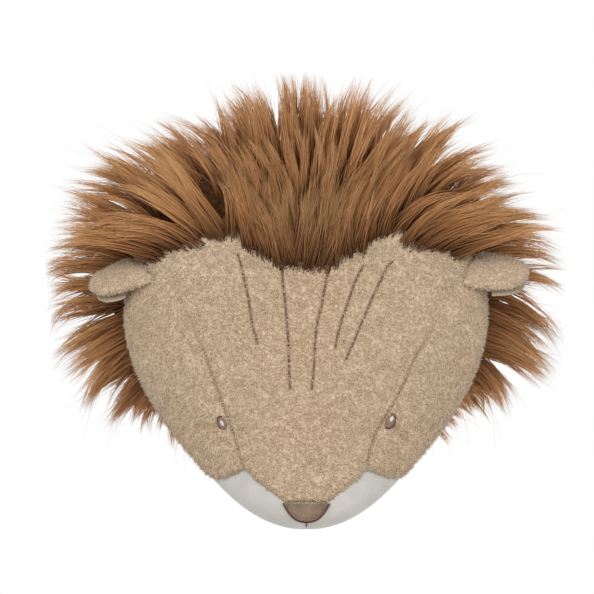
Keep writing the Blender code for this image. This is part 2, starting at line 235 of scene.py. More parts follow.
def addNoise(nodes, links, scale, detail=3.0, roughness=0.6):
    texture = nodes.new("ShaderNodeTexNoise")
    texture.inputs["Scale"].default_value = scale
    texture.inputs["Detail"].default_value = detail
    texture.inputs["Roughness"].default_value = roughness
    addPlace(nodes, links, texture)
    return texture.outputs["Fac"]


def addRamp(nodes, links, value, stops):
    ramp = nodes.new("ShaderNodeValToRGB")
    elements = ramp.color_ramp.elements
    while len(elements) < len(stops):
        elements.new(0.5)
    for element, (place, colour) in zip(elements, stops):
        element.position = place
        element.color = (*colour, 1.0)
    links.new(value, ramp.inputs["Fac"])
    return ramp.outputs["Color"]


def mixColours(nodes, links, factor, first, second, blend="MIX"):
    mix = nodes.new("ShaderNodeMix")
    mix.data_type = "RGBA"
    mix.blend_type = blend
    for socket, value in ((mix.inputs[0], factor), (mix.inputs[6], first), (mix.inputs[7], second)):
        if isinstance(value, bpy.types.NodeSocket):
            links.new(value, socket)
        elif isinstance(value, tuple):
            socket.default_value = (*value, 1.0)
        else:
            socket.default_value = value
    return mix.outputs[2]


def addSeamShade(nodes, links, colour, shadeTone):
    # painted shade: the fabric is darkened along its seams and creases, and towards the mane's brown under
    # the mane, by the attribute that shapeHead writes
    seam = nodes.new("ShaderNodeAttribute")
    seam.attribute_name = "seamDepth"
    return mixColours(nodes, links, seam.outputs["Fac"], colour, shadeTone)


def addBump(nodes, links, height, shader, distance, strength=1.0):
    bump = nodes.new("ShaderNodeBump")
    bump.inputs["Strength"].default_value = strength
    bump.inputs["Distance"].default_value = distance
    links.new(height, bump.inputs["Height"])
    links.new(bump.outputs["Normal"], shader.inputs["Normal"])


plushLook = {
    "shadow": tone(180, 151, 120),
    "middle": tone(202, 180, 153),
    "tip": tone(222, 204, 180),
    # painted shade of seams, brow lines and creases, and the brown under the mane
    "seam": tone(120, 84, 52),
}


def makePlush():
    # the skin under the nap: mottled between tan roots, with painted shadow between the curls in the darkest
    # stop, and paler tips
    material, nodes, links, shader = newMaterial("plush", 0.95, sheen=0.25, specular=0.1)
    curls = addNoise(nodes, links, 620, 2.0, 0.55)
    colour = addRamp(nodes, links, curls, (
        (0.34, plushLook["shadow"]), (0.50, plushLook["middle"]), (0.68, plushLook["tip"]),
    ))
    patches = addNoise(nodes, links, 28, 2.0)
    shade = addRamp(nodes, links, patches, ((0.3, (0.90, 0.89, 0.87)), (0.7, (1.0, 1.0, 1.0))))
    colour = mixColours(nodes, links, 1.0, colour, shade, "MULTIPLY")
    links.new(addSeamShade(nodes, links, colour, plushLook["seam"]), shader.inputs["Base Color"])
    addBump(nodes, links, curls, shader, 0.0012, 0.7)
    return material


def makeFibre(name, roughness, specular, sheen=0.0):
    # strands take their colour from their own attribute, darker at the root
    material, nodes, links, shader = newMaterial(name, roughness, sheen=sheen, specular=specular)
    colour = nodes.new("ShaderNodeAttribute")
    colour.attribute_name = "strandTone"
    links.new(colour.outputs["Color"], shader.inputs["Base Color"])
    return material


velourLook = {
    "roughness": 0.85,
    "sheen": 0.35,
    "pile": (900, 2.0),
    "clouds": (45, 3.0),
    "tones": ((0.35, tone(193, 190, 184)), (0.65, tone(203, 200, 194))),
    "shade": (0.95, 0.95, 0.95),
    # painted shade along a seam, by the same attribute, which is zero on the muzzle
    "seam": tone(150, 140, 128),
    "bump": 0.5,
}

suedeLook = {
    "roughness": 0.9,
    "sheen": 0.3,
    "pile": (1100, 3.0, 0.7),
    "clouds": (130, 3.0),
    "tones": ((0.35, tone(122, 101, 82)), (0.62, tone(146, 126, 105))),
    "shade": (0.84, 0.83, 0.82),
    "bump": 0.7,
}


def makePile(name, look):
    # a short pile, in soft patches of two tones
    material, nodes, links, shader = newMaterial(name, look["roughness"], look["sheen"], 0.15)
    pile = addNoise(nodes, links, *look["pile"])
    colour = addRamp(nodes, links, addNoise(nodes, links, *look["clouds"]), look["tones"])
    fine = addRamp(nodes, links, pile, ((0.35, look["shade"]), (0.65, (1.0, 1.0, 1.0))))
    colour = mixColours(nodes, links, 1.0, colour, fine, "MULTIPLY")
    if "seam" in look:
        colour = addSeamShade(nodes, links, colour, look["seam"])
    links.new(colour, shader.inputs["Base Color"])
    addBump(nodes, links, pile, shader, 0.0004, look["bump"])
    return material


def makeThread(name, dark, light, sheen=0.1):
    material, nodes, links, shader = newMaterial(name, 0.55, sheen=sheen, specular=0.35)
    strands = addNoise(nodes, links, 1800, 2.0)
    links.new(addRamp(nodes, links, strands, ((0.35, dark), (0.65, light))), shader.inputs["Base Color"])
    addBump(nodes, links, strands, shader, 0.0002, 0.5)
    return material


def makeCloth(name, dark, light, threads, depth):
    # a plain weave, in threads per metre
    material, nodes, links, shader = newMaterial(name, 0.9, sheen=0.15, specular=0.2)
    heights = []
    for direction in ("X", "Z"):
        wave = nodes.new("ShaderNodeTexWave")
        wave.bands_direction = direction
        wave.inputs["Scale"].default_value = threads / 20
        wave.inputs["Distortion"].default_value = 0.6
        wave.inputs["Detail"].default_value = 1.0
        addPlace(nodes, links, wave)
        heights.append(wave.outputs["Fac"])
    weave = nodes.new("ShaderNodeMath")
    weave.operation = "MULTIPLY"
    links.new(heights[0], weave.inputs[0])
    links.new(heights[1], weave.inputs[1])
    clouds = addNoise(nodes, links, 90, 3.0)
    colour = addRamp(nodes, links, clouds, ((0.35, dark), (0.65, light)))
    lines = addRamp(nodes, links, weave.outputs[0], ((0.0, (0.88, 0.87, 0.86)), (0.5, (1.0, 1.0, 1.0))))
    links.new(mixColours(nodes, links, 1.0, colour, lines, "MULTIPLY"), shader.inputs["Base Color"])
    addBump(nodes, links, weave.outputs[0], shader, depth, 0.8)
    return material


def makeFelt():
    material, nodes, links, shader = newMaterial("felt", 0.95, sheen=0.3, specular=0.1)
    fibres = addNoise(nodes, links, 700, 5.0, 0.75)
    colour = addRamp(nodes, links, fibres, (
        (0.3, tone(140, 120, 96)), (0.5, tone(165, 146, 120)), (0.7, tone(182, 164, 138)),
    ))
    links.new(colour, shader.inputs["Base Color"])
    addBump(nodes, links, fibres, shader, 0.0008, 0.6)
    return material


plush = makePlush()
napFibre = makeFibre("napFibre", 0.9, 0.1, 0.2)
maneFibre = makeFibre("maneFibre", 0.55, 0.25)
velour = makePile("whiteVelour", velourLook)
suede = makePile("noseSuede", suedeLook)
browThread = makeThread("browThread", tone(104, 76, 56), tone(134, 104, 82))
mouthThread = makeThread("mouthThread", tone(70, 48, 46), tone(96, 70, 66))
edgeThread = makeThread("edgeThread", tone(84, 44, 34), tone(112, 64, 52))
eyeThread = makeThread("eyeThread", tone(122, 95, 78), tone(150, 123, 105), sheen=0.2)
rimThread = makeThread("rimThread", tone(56, 36, 27), tone(80, 55, 41))
whiteThread = makeThread("whiteThread", tone(196, 194, 198), tone(220, 218, 220), sheen=0.3)
liningCloth = makeCloth("liningCloth", tone(176, 162, 138), tone(188, 175, 152), 1800, 0.0002)
tapeCloth = makeCloth("tapeCloth", tone(200, 190, 172), tone(214, 206, 190), 1400, 0.0003)
felt = makeFelt()
print("materials ready")


# The stuffed head: the plush face and the white muzzle, pulled in along their seams

headLook = {
    "voxel": 2.4 * mm,
    "smoothing": 5,
    "fineWidth": 2.6 * mm,             # smaller faces this close to a seam
    "panelSeams": (
        ((-0.0940, 0.0334), (-0.0866, 0.0196), (-0.0793, 0.0038), (-0.0720, -0.0093), (-0.0677, -0.0199),
         (-0.0604, -0.0370), (-0.0575, -0.0450), (-0.0535, -0.0545), (-0.0496, -0.0628), (-0.0446, -0.0765),
         (-0.0420, -0.0795)),
        ((0.1063, 0.0344), (0.0980, 0.0184), (0.0898, 0.0054), (0.0811, -0.0068), (0.0752, -0.0161),
         (0.0687, -0.0296), (0.0621, -0.0398), (0.0535, -0.0520), (0.0470, -0.0606), (0.0425, -0.0765),
         (0.0415, -0.0795)),
    ),
    "seamDepth": 1.3 * mm,
    "seamWidth": 1.3 * mm,
    # painted shade in the seam grooves, as a share of the seam tone
    "seamShade": 0.6,
    "seamFade": (0.015, 0.030, 0.2),   # faded at this height, over this much below it, to this share
    "panelPuff": 0.9 * mm,
    "puffPlace": 12 * mm,
    "puffWidth": 9 * mm,
    "browLines": (
        ((-0.0485, 0.0539), (-0.0448, 0.0412), (-0.0412, 0.0272), (-0.0382, 0.0104), (-0.0346, -0.0019)),
        ((-0.0172, 0.0445), (-0.0164, 0.0346), (-0.0143, 0.0179), (-0.0128, 0.0020), (-0.0121, -0.0124),
         (-0.0114, -0.0292)),
        ((0.0155, 0.0427), (0.0112, 0.0228), (0.0076, 0.0093), (0.0061, -0.0028), (0.0054, -0.0154),
         (0.0039, -0.0291)),
        ((0.0404, 0.0461), (0.0353, 0.0373), (0.0281, 0.0198), (0.0238, 0.0087), (0.0202, -0.0053)),
        ((0.0610, 0.0497), (0.0574, 0.0452), (0.0487, 0.0299), (0.0422, 0.0166), (0.0357, 0.0036),
         (0.0278, -0.0121)),
    ),
    "browDepth": 1.3 * mm,
    "browWidth": 1.3 * mm,
    # painted shade in the brow grooves
    "browShade": 0.7,
    "shadeWidth": 1.2 * mm,
    "eyes": ((-0.0583, -0.0545), (0.0583, -0.0530)),
    "eyeTuck": 1.8 * mm,
    "eyeTuckWidth": 9 * mm,
    "eyeCreases": (
        ((-0.0620, -0.0555), (-0.0690, -0.0570), (-0.0770, -0.0590)),
        ((0.0615, -0.0570), (0.0660, -0.0615), (0.0700, -0.0670)),
    ),
    "creaseDepth": 1.8 * mm,
    "creaseWidth": 3.0 * mm,
    # painted shade in the creases beside the eyes
    "creaseShade": 0.35,
    "creaseShadeWidth": 2.4 * mm,
    "muzzleSeam": (
        (-0.0900, -0.1098), (-0.0630, -0.0925), (-0.0520, -0.0858), (-0.0415, -0.0795), (-0.0290, -0.0878),
        (-0.0146, -0.0975), (0.0146, -0.0975), (0.0290, -0.0878), (0.0415, -0.0795), (0.0520, -0.0858),
        (0.0630, -0.0925), (0.0900, -0.1098),
    ),
    "muzzleLift": 0.9 * mm,
    "muzzleLiftWidth": 2.4 * mm,
    "cleft": ((0.0, -0.1110), (0.0, -0.1170), (0.0, -0.1230)),
    "cleftDepth": 2.4 * mm,
    "cleftWidth": 4.0 * mm,
    "skinShade": (2 * mm, 6 * mm),     # how far behind the hairline the skin darkens, and over what
    "wallRim": (-12 * mm, 10 * mm),    # the rim at the wall stays pale
}

clothLook = {
    "pressure": 4.0,
    "quality": 5,
    "steps": 20,
    "most": 2.5 * mm,                  # no point moves further than this
    "seamReach": 10 * mm,              # how far the hold of a seam reaches
    "backHold": (-20 * mm, 30 * mm),   # held behind this depth, and free this much further forward
    "sideHold": (2 * mm, 10 * mm),     # the same by the distance from the neighbouring piece
}

hairlineLook = {
    "brow": -0.1055,                   # where the mane starts over the middle of the forehead
    "corner": (0.0065, 0.66, 0.25),    # how much further back at its corners, where, and how wide
    "temple": (0.08, 0.78),            # the slope above the ears, and where it starts
    "low": (-0.0480, 0.006),           # at the sides, and how much further forward underneath
    "step": (0.375, 0.010),            # the height at which one changes to the other, and how fast
}


def treeOfNodes(*nodes):
    piece = newPiece("solids", copyOfNode(*nodes))
    tree = treeOf(piece)
    bpy.data.objects.remove(piece)
    return tree


cadTree = treeOfNodes("face_plush", "muzzle")
bodyTree = treeOfNodes("face_plush", "muzzle", "ear_left", "ear_right")


def refineBeside(piece, lines, width):
    # smaller faces along the seams in two steps, so that they can be narrow
    bm = bmesh.new()
    bm.from_mesh(piece.data)
    line = np.vstack(lines)
    for reach in (width * 2.4, width * 1.3):
        places = np.array([vert.co for vert in bm.verts])
        close = nearest(places, line) < reach
        bm.verts.index_update()
        edges = [edge for edge in bm.edges if close[edge.verts[0].index] and close[edge.verts[1].index]]
        bmesh.ops.subdivide_edges(bm, edges=edges, cuts=1, use_grid_fill=True)
    bm.to_mesh(piece.data)
    bm.free()


def hairlineDepth(angle):
    # how far forward the mane starts, by the angle round the head from its right side
    up = np.sin(angle)
    wide = np.abs(np.cos(angle))
    shift, middle, width = hairlineLook["corner"]
    slope, begin = hairlineLook["temple"]
    side, under = hairlineLook["low"]
    level, blur = hairlineLook["step"]
    top = hairlineLook["brow"] + shift * np.exp(-(((wide - middle) / width) ** 2))
    top = top + slope * np.clip(wide - begin, 0, 1)
    low = side - under * np.clip(-up, 0, 1)
    return low + (top - low) / (1 + np.exp(-(up - level) / blur))


def stuffed(piece, held, neighbour):
    # a short cloth run swells the fabric between its seams; seams, back and hidden sides stay put
    start = points(piece.data)
    loose = 1 - np.exp(-((nearest(start, np.vstack(held)) / clothLook["seamReach"]) ** 2))
    begin, over = clothLook["backHold"]
    loose *= np.clip((begin - start[:, 1]) / over, 0, 1)
    gaps = np.array([neighbour.find_nearest(Vector(spot))[3] for spot in start])
    begin, over = clothLook["sideHold"]
    loose *= np.clip((gaps - begin) / over, 0, 1)
    pins = piece.vertex_groups.new(name="pins")
    for number, share in enumerate(loose):
        pins.add([number], 1 - share, "REPLACE")
    cloth = piece.modifiers.new("Cloth", "CLOTH")
    cloth.settings.vertex_group_mass = "pins"
    cloth.settings.quality = clothLook["quality"]
    cloth.settings.use_pressure = True
    cloth.settings.uniform_pressure_force = clothLook["pressure"]
    cloth.settings.effector_weights.gravity = 0
    cloth.collision_settings.use_collision = False
    for step in range(1, clothLook["steps"] + 1):
        bpy.context.scene.frame_set(step)
    applyModifiers(piece)
    bpy.context.scene.frame_set(1)
    piece.vertex_groups.clear()
    moved = points(piece.data) - start
    far = np.linalg.norm(moved, axis=1)
    limit = clothLook["most"] * loose
    movePoints(piece.data, start + moved * np.minimum(1, limit / np.maximum(far, 1e-9))[:, None])
    print("cloth", piece.name, "moved by up to", round(float(far.max()) / mm, 2), "mm before the limit")


def bell(away, width):
    return np.exp(-((away / width) ** 2))


def groove(places, directions, line, depth, width):
    away = nearest(places, line)
    return places - directions * (depth * bell(away, width))[:, None], away


def markSkin(places):
    # the skin under the mane is darkened to the mane's brown, partly painted shade under the hair, apart
    # from the rim at the wall
    begin, over = headLook["skinShade"]
    behind = places[:, 1] - hairlineDepth(np.arctan2(places[:, 2], places[:, 0])) - begin
    edge, fade = headLook["wallRim"]
    return np.clip(behind / over, 0, 1) * np.clip((edge - places[:, 1]) / fade, 0, 1)


def sewFace(places, out, seams, brows, creases):
    # seams, brow lines, creases and the dents under the eyes, and the painted shade that the seams, brow
    # lines and creases lay on the fabric, with the darker skin under the mane
    look = headLook
    marks = np.zeros(len(places))
    height, fade, least = look["seamFade"]
    for seam in seams:
        puff = look["panelPuff"] * bell(nearest(places, seam) - look["puffPlace"], look["puffWidth"])
        places = places + out * puff[:, None]
        drawn = np.clip((height - places[:, 2]) / fade, least, 1)
        places, far = groove(places, out * drawn[:, None], seam, look["seamDepth"], look["seamWidth"])
        marks = np.maximum(marks, look["seamShade"] * drawn * bell(far, look["shadeWidth"]))
    for line in brows:
        places, far = groove(places, out, line, look["browDepth"], look["browWidth"])
        marks = np.maximum(marks, look["browShade"] * bell(far, look["shadeWidth"]))
    for line in creases:
        places, far = groove(places, out, line, look["creaseDepth"], look["creaseWidth"])
        marks = np.maximum(marks, look["creaseShade"] * bell(far, look["creaseShadeWidth"]))
    marks = np.maximum(marks, markSkin(places))
    for eye in look["eyes"]:
        places, far = groove(places, out, dropOnto(cadTree, (eye,)), look["eyeTuck"], look["eyeTuckWidth"])
    return places, marks


def shapeHead():
    made = []
    look = headLook
    seams = [dropOnto(cadTree, smoothLine(seam, 14)) for seam in look["panelSeams"]]
    brows = [dropOnto(cadTree, smoothLine(line, 12)) for line in look["browLines"]]
    edge = dropOnto(cadTree, smoothLine(look["muzzleSeam"], 10))
    creases = [dropOnto(cadTree, smoothLine(line, 10)) for line in look["eyeCreases"]]
    cleft = dropOnto(cadTree, smoothLine(look["cleft"], 10))
    for name, node, beside in (
        ("facePlush", "face_plush", "muzzle"),
        ("muzzleVelour", "muzzle", "face_plush"),
    ):
        piece = remeshed(newPiece(name, copyOfNode(node)), look["voxel"], look["smoothing"])
        stuffed(piece, seams + brows + [edge], treeOfNodes(beside))
        if node == "face_plush":
            refineBeside(piece, seams + brows, look["fineWidth"])
        places, out = points(piece.data), normals(piece.data)
        if node == "face_plush":
            places, marks = sewFace(places, out, seams, brows, creases)
        else:
            places, marks = groove(places, out, cleft, look["cleftDepth"], look["cleftWidth"])
            marks = np.zeros(len(places))
        places, far = groove(places, out, edge, -look["muzzleLift"], look["muzzleLiftWidth"])
        movePoints(piece.data, places)
        # the attribute carries the painted shade of seams, brow lines and creases, and the darker skin under
        # the mane
        floatLayer(piece.data, "seamDepth", marks)
        made.append(piece)
    return made


face, muzzle = shapeHead()
settle(face, "face_plush", slot="plush", finish=plush)
settle(muzzle, "muzzle", slot="white_velour", finish=velour)
faceTree = treeOf(face)
muzzleTree = treeOf(muzzle)


# Strands: each is a tapering three-sided spike, made as a curve and welded at its tip

strandProfile = bpy.data.curves.new("strandProfile", "CURVE")
strandProfile.dimensions = "2D"
corner = strandProfile.splines.new("POLY")
corner.points.add(2)
for spot, turn in zip(corner.points, (330, 210, 90)):
    spot.co = (math.cos(math.radians(turn)), math.sin(math.radians(turn)), 0, 1)
corner.use_cyclic_u = True
profileObject = linked("strandProfile", strandProfile)


def growStrands(name, paths, radii, tones):
    # paths: strands x points x 3; radii: strands x points; tones: strands x points x 3
    count, steps = paths.shape[:2]
    curve = bpy.data.curves.new(name, "CURVE")
    curve.dimensions = "3D"
    curve.bevel_mode = "OBJECT"
    curve.bevel_object = profileObject
    curve.use_fill_caps = True
    padded = np.concatenate([paths, np.ones((count, steps, 1))], axis=2).astype(np.float32)
    radii = radii.astype(np.float32)
    for path, radius in zip(padded, radii):
        spline = curve.splines.new("POLY")
        spline.points.add(steps - 1)
        spline.points.foreach_set("co", path.ravel())
        spline.points.foreach_set("radius", radius)
    mesh = meshOfCurve(curve)
    # the root caps come first and in the opposite order, then the rings of each strand in turn
    rings = np.repeat(tones.reshape(count * steps, 3), 3, axis=0)
    caps = np.repeat(tones[::-1, 0], 3, axis=0)
    colours = np.ones((len(rings) + len(caps), 4), dtype=np.float32)
    colours[:, :3] = np.vstack([caps, rings])
    layer = mesh.attributes.new("strandTone", "FLOAT_COLOR", "POINT")
    layer.data.foreach_set("color", colours.ravel())
    piece = linked(name, mesh)
    weld = piece.modifiers.new("Weld", "WELD")
    weld.merge_threshold = 2e-6
    mesh = applyModifiers(piece)
    mesh.shade_smooth()
    mesh.name = name
    return piece


def scatter(piece, count, keep):
    # even random places on a mesh, with the normals there
    mesh = piece.data
    mesh.calc_loop_triangles()
    corners = np.empty(len(mesh.loop_triangles) * 3, dtype=np.int32)
    mesh.loop_triangles.foreach_get("vertices", corners)
    corners = corners.reshape(-1, 3)
    places, out = points(mesh), normals(mesh)
    tri = places[corners]
    area = np.linalg.norm(np.cross(tri[:, 1] - tri[:, 0], tri[:, 2] - tri[:, 0]), axis=1)
    area *= keep(tri.mean(axis=1), out[corners].mean(axis=1))
    picks = rng.choice(len(area), count, p=area / area.sum())
    share = rng.random((count, 2))
    flip = share.sum(axis=1) > 1
    share[flip] = 1 - share[flip]
    weights = np.column_stack([1 - share.sum(axis=1), share])
    spots = (tri[picks] * weights[:, :, None]).sum(axis=1)
    facing = (out[corners[picks]] * weights[:, :, None]).sum(axis=1)
    return spots, facing / np.linalg.norm(facing, axis=1)[:, None]


def wander(places, wavelength, seed):
    # a smooth wavering, mostly between -1 and 1, over the head
    own = np.random.default_rng(seed)
    total = np.zeros(len(places))
    for _ in range(7):
        way = own.normal(size=3)
        total += np.sin(places @ way / np.linalg.norm(way) * 2 * math.pi / wavelength + own.uniform(0, 6.28))
    return total / 2.6


def unit(vectors):
    return vectors / np.maximum(np.linalg.norm(vectors, axis=-1, keepdims=True), 1e-9)


napLook = {
    "face": 42000,
    "seamFuzz": 2600,
    "ears": 5200,
    "length": 4.0 * mm,
    "radius": 0.46 * mm,
    "lean": 1.5,
    "seamLength": 3.2 * mm,
    "earShare": 0.8,                   # the ears' nap is shorter
    "warmWidth": 55 * mm,              # the forehead and the bridge are warmer than the cheeks
    "warmth": (0.02, -0.03, -0.09),
    "root": tone(196, 165, 130),
    "dark": tone(210, 187, 158),
    "light": tone(238, 223, 200),
}


def napStrands(name, spots, aim, facing, length):
    # short tapering fibres, tan at the root and paler at the tip
    count = len(spots)
    reach = length * rng.uniform(0.6, 1.2, (count, 1))
    paths = np.stack([spots - facing * 0.5 * mm, spots + aim * reach], axis=1)
    radii = napLook["radius"] * rng.uniform(0.7, 1.25, (count, 1)) * np.array([[1.0, 0.0]])
    pale = rng.random((count, 1)) ** 0.8
    tips = np.array(napLook["dark"]) * (1 - pale) + np.array(napLook["light"]) * pale
    roots = np.array(napLook["root"]) * 0.6 + tips * 0.4
    warm = bell(spots[:, :1], napLook["warmWidth"]) * 0.5 + 0.25 * wander(spots, 0.050, 21)[:, None]
    tips, roots = (shade * (1 + warm * np.array([napLook["warmth"]])) for shade in (tips, roots))
    return growStrands(name, paths, radii, np.stack([roots, tips], axis=1))


def growNap(name, piece, count, keep, length, clearings=()):
    # a curly nap: every fibre lies over its own way
    spots, facing = scatter(piece, count, keep)
    sideways = unit(np.cross(facing, rng.normal(size=(count, 3))))
    aim = unit(facing + sideways * napLook["lean"] * rng.uniform(0.5, 1.5, (count, 1)))
    clear = np.ones(count, dtype=bool)
    for middle, width in clearings:
        clear &= np.linalg.norm(spots + aim * length * 0.6 - middle, axis=1) > width
    return napStrands(name, spots[clear], aim[clear], facing[clear], length)


def onFaceFront(middles, out):
    # nap shows in front of the mane and not on the closed back
    angle = np.arctan2(middles[:, 2], middles[:, 0])
    return ((middles[:, 1] < hairlineDepth(angle) + 1 * mm) & (out[:, 1] < 0.85)).astype(float)


eyeSpots = [(dropOnto(faceTree, (eye,))[0], 4.6 * mm) for eye in headLook["eyes"]]
faceNap = growNap("faceNap", face, napLook["face"], onFaceFront, napLook["length"], eyeSpots)
settle(faceNap, "face_plush", slot="plush", finish=napFibre)


def growSeamFuzz():
    # the plush hangs a little over the smooth muzzle and the top of the nose
    line = smoothLine(headLook["muzzleSeam"], 40)
    picks = line[rng.integers(0, len(line), napLook["seamFuzz"])]
    picks = picks + rng.normal(0, 0.8 * mm, picks.shape) + np.array([0, 1.6 * mm])
    spots, facing = [], []
    for x, z in picks:
        place, normal, _, _ = faceTree.ray_cast(Vector((x, -0.5, z)), Vector((0, 1, 0)))
        if place is not None and normal.y < -0.1:
            spots.append(place)
            facing.append(normal)
    spots, facing = np.array(spots), np.array(facing)
    down = np.column_stack([np.sign(spots[:, 0]) * 0.2, np.zeros(len(spots)), -np.ones(len(spots))])
    aim = unit(facing * 0.55 + down + rng.normal(0, 0.45, spots.shape))
    fuzz = napStrands("seamFuzz", spots, aim, facing, napLook["seamLength"])
    settle(fuzz, "face_plush", slot="plush", finish=napFibre)


growSeamFuzz()


# The mane: locks of long strands that grow from the back of the head

maneLook = {
    "locks": 960,
    "tufts": 170,                      # neighbouring locks close up into tufts
    "strandsPerLock": 27,
    "strandRadius": 0.35 * mm,
    "length": (0.058, 0.068, 0.074),   # under the head, at the sides and on the crown
    "lockRadius": (4.5 * mm, 9.0 * mm),
    "tuftPull": 0.68,
    "fanDrop": 0.075,                  # the crown is combed away from a point this far down the face
    "loose": 0.07,                     # share of strands that leave their lock
    "front": -0.108,                   # roots lie between these depths
    "back": -0.012,
    "edgeShare": 0.18,                 # this share of them right behind the hairline, this close to it
    "edgeDepth": 7 * mm,
    "thinning": 0.12,                  # a little fewer on the crown than at the sides
    "lengthSpread": (0.80, 1.10),
    "backRows": (0.86, 0.30),          # a lock's length at the hairline, and what the last row adds
    "spare": 10 * mm,                  # how far tips may stand outside the collar's box
    "clearance": 0.8 * mm,             # from the head and the ears
    "wallStop": -0.010,                # hair that would reach the wall is slowed down behind this depth
    # wavering of the directions: how much, over what distance, and its seed
    "riseWaver": ((0.16, 0.055, 5), (0.12, 0.020, 6)),
    "fallWaver": ((0.17, 0.045, 9), (0.14, 0.016, 10)),
    "riseSpread": 0.08,
    "fallSpread": 0.18,
    "elbow": 0.48,                     # the share of a lock that rises before it sinks
    "flat": 0.40,                      # the share of locks that stay out of the tufts
    "flatPull": 0.15,
    "tuftSize": 16 * mm,               # locks this far from a tuft's middle are shorter
    "tuftReach": (0.95, 1.07),         # how much the reach varies from tuft to tuft
    "lockReach": (0.95, 1.03),         # and from lock to lock
    "stations": (0.0, 0.22, 0.48, 0.75, 1.0),
    "taper": (0.9, 1.0, 0.85, 0.5, 0.0),
    "gather": (0.70, 1.0),
    "stray": (9.0 * mm, 1.3 * mm),     # of the loose strands, and of the others
    "bend": 4.0 * mm,
    "ripple": 0.8 * mm,
    "partingShadeWidth": 34 * mm,
    # the root tone is partly painted shade at the base of the fur
    "rootTone": tone(84, 50, 27),
    "darkTone": tone(142, 89, 50),
    "goldTone": tone(214, 154, 98),
    "sandTone": tone(234, 188, 134),
    # in degrees round the head from its right side: how far the hair reaches
    "reach": (
        (0, 0.195), (20, 0.177), (35, 0.166), (50, 0.172), (65, 0.160), (90, 0.160), (108, 0.163),
        (120, 0.157), (130, 0.164), (145, 0.184), (168, 0.203), (178, 0.195), (190, 0.196), (205, 0.182),
        (212, 0.170), (222, 0.151), (235, 0.142), (270, 0.134), (302, 0.138), (311, 0.150), (320, 0.144),
        (330, 0.168), (345, 0.194), (360, 0.195),
    ),
    # and how far the tips have sunk from pointing straight out
    "sink": (
        (0, -34), (20, -34), (40, -36), (60, -26), (75, -13), (90, 0), (105, 14), (120, 27), (140, 37),
        (155, 34), (165, 32), (175, 30), (183, 35), (195, 46), (210, 50), (222, 40), (240, 20), (270, 0),
        (300, -18), (320, -40), (335, -44), (348, -40), (360, -34),
    ),
}


def inPicture(places):
    # where places lie in the photograph's plane, from the middle of the head
    high = places[:, 1] * math.sin(photoTilt) + places[:, 2] * math.cos(photoTilt) + 0.005
    return np.column_stack([places[:, 0], high])


def plantLocks():
    # roots on the head behind the hairline, closer together along its edge
    roots, outs, shares = [], [], []
    while len(roots) < maneLook["locks"]:
        angle = rng.uniform(0, 2 * math.pi)
        front = float(hairlineDepth(np.array(angle)))
        if rng.random() < maneLook["edgeShare"]:
            depth = front + rng.uniform(0.0, maneLook["edgeDepth"])
        else:
            depth = rng.uniform(maneLook["front"], maneLook["back"])
        if depth < front or rng.random() > 1 - maneLook["thinning"] * (1 - abs(math.cos(angle))):
            continue
        aim = Vector((math.cos(angle), 0, math.sin(angle)))
        place, normal, _, _ = cadTree.ray_cast(Vector((0, depth, 0)) + aim * 0.3, -aim)
        if place is not None:
            roots.append(place)
            outs.append(normal)
            shares.append((depth - front) / (maneLook["back"] - front))
    return np.array(roots), np.array(outs), np.array(shares)


def readTable(name, degrees):
    table = np.array(maneLook[name], dtype=float)
    return np.interp(degrees % 360, table[:, 0], table[:, 1])


def waver(name, places):
    return sum(much * wander(places, wavelength, seed) for much, wavelength, seed in maneLook[name])


def pointing(angle):
    return np.column_stack([np.cos(angle), np.zeros(len(angle)), np.sin(angle)])


def turnOf(spot):
    return np.degrees(np.arctan2(spot[:, 1], spot[:, 0])) % 360


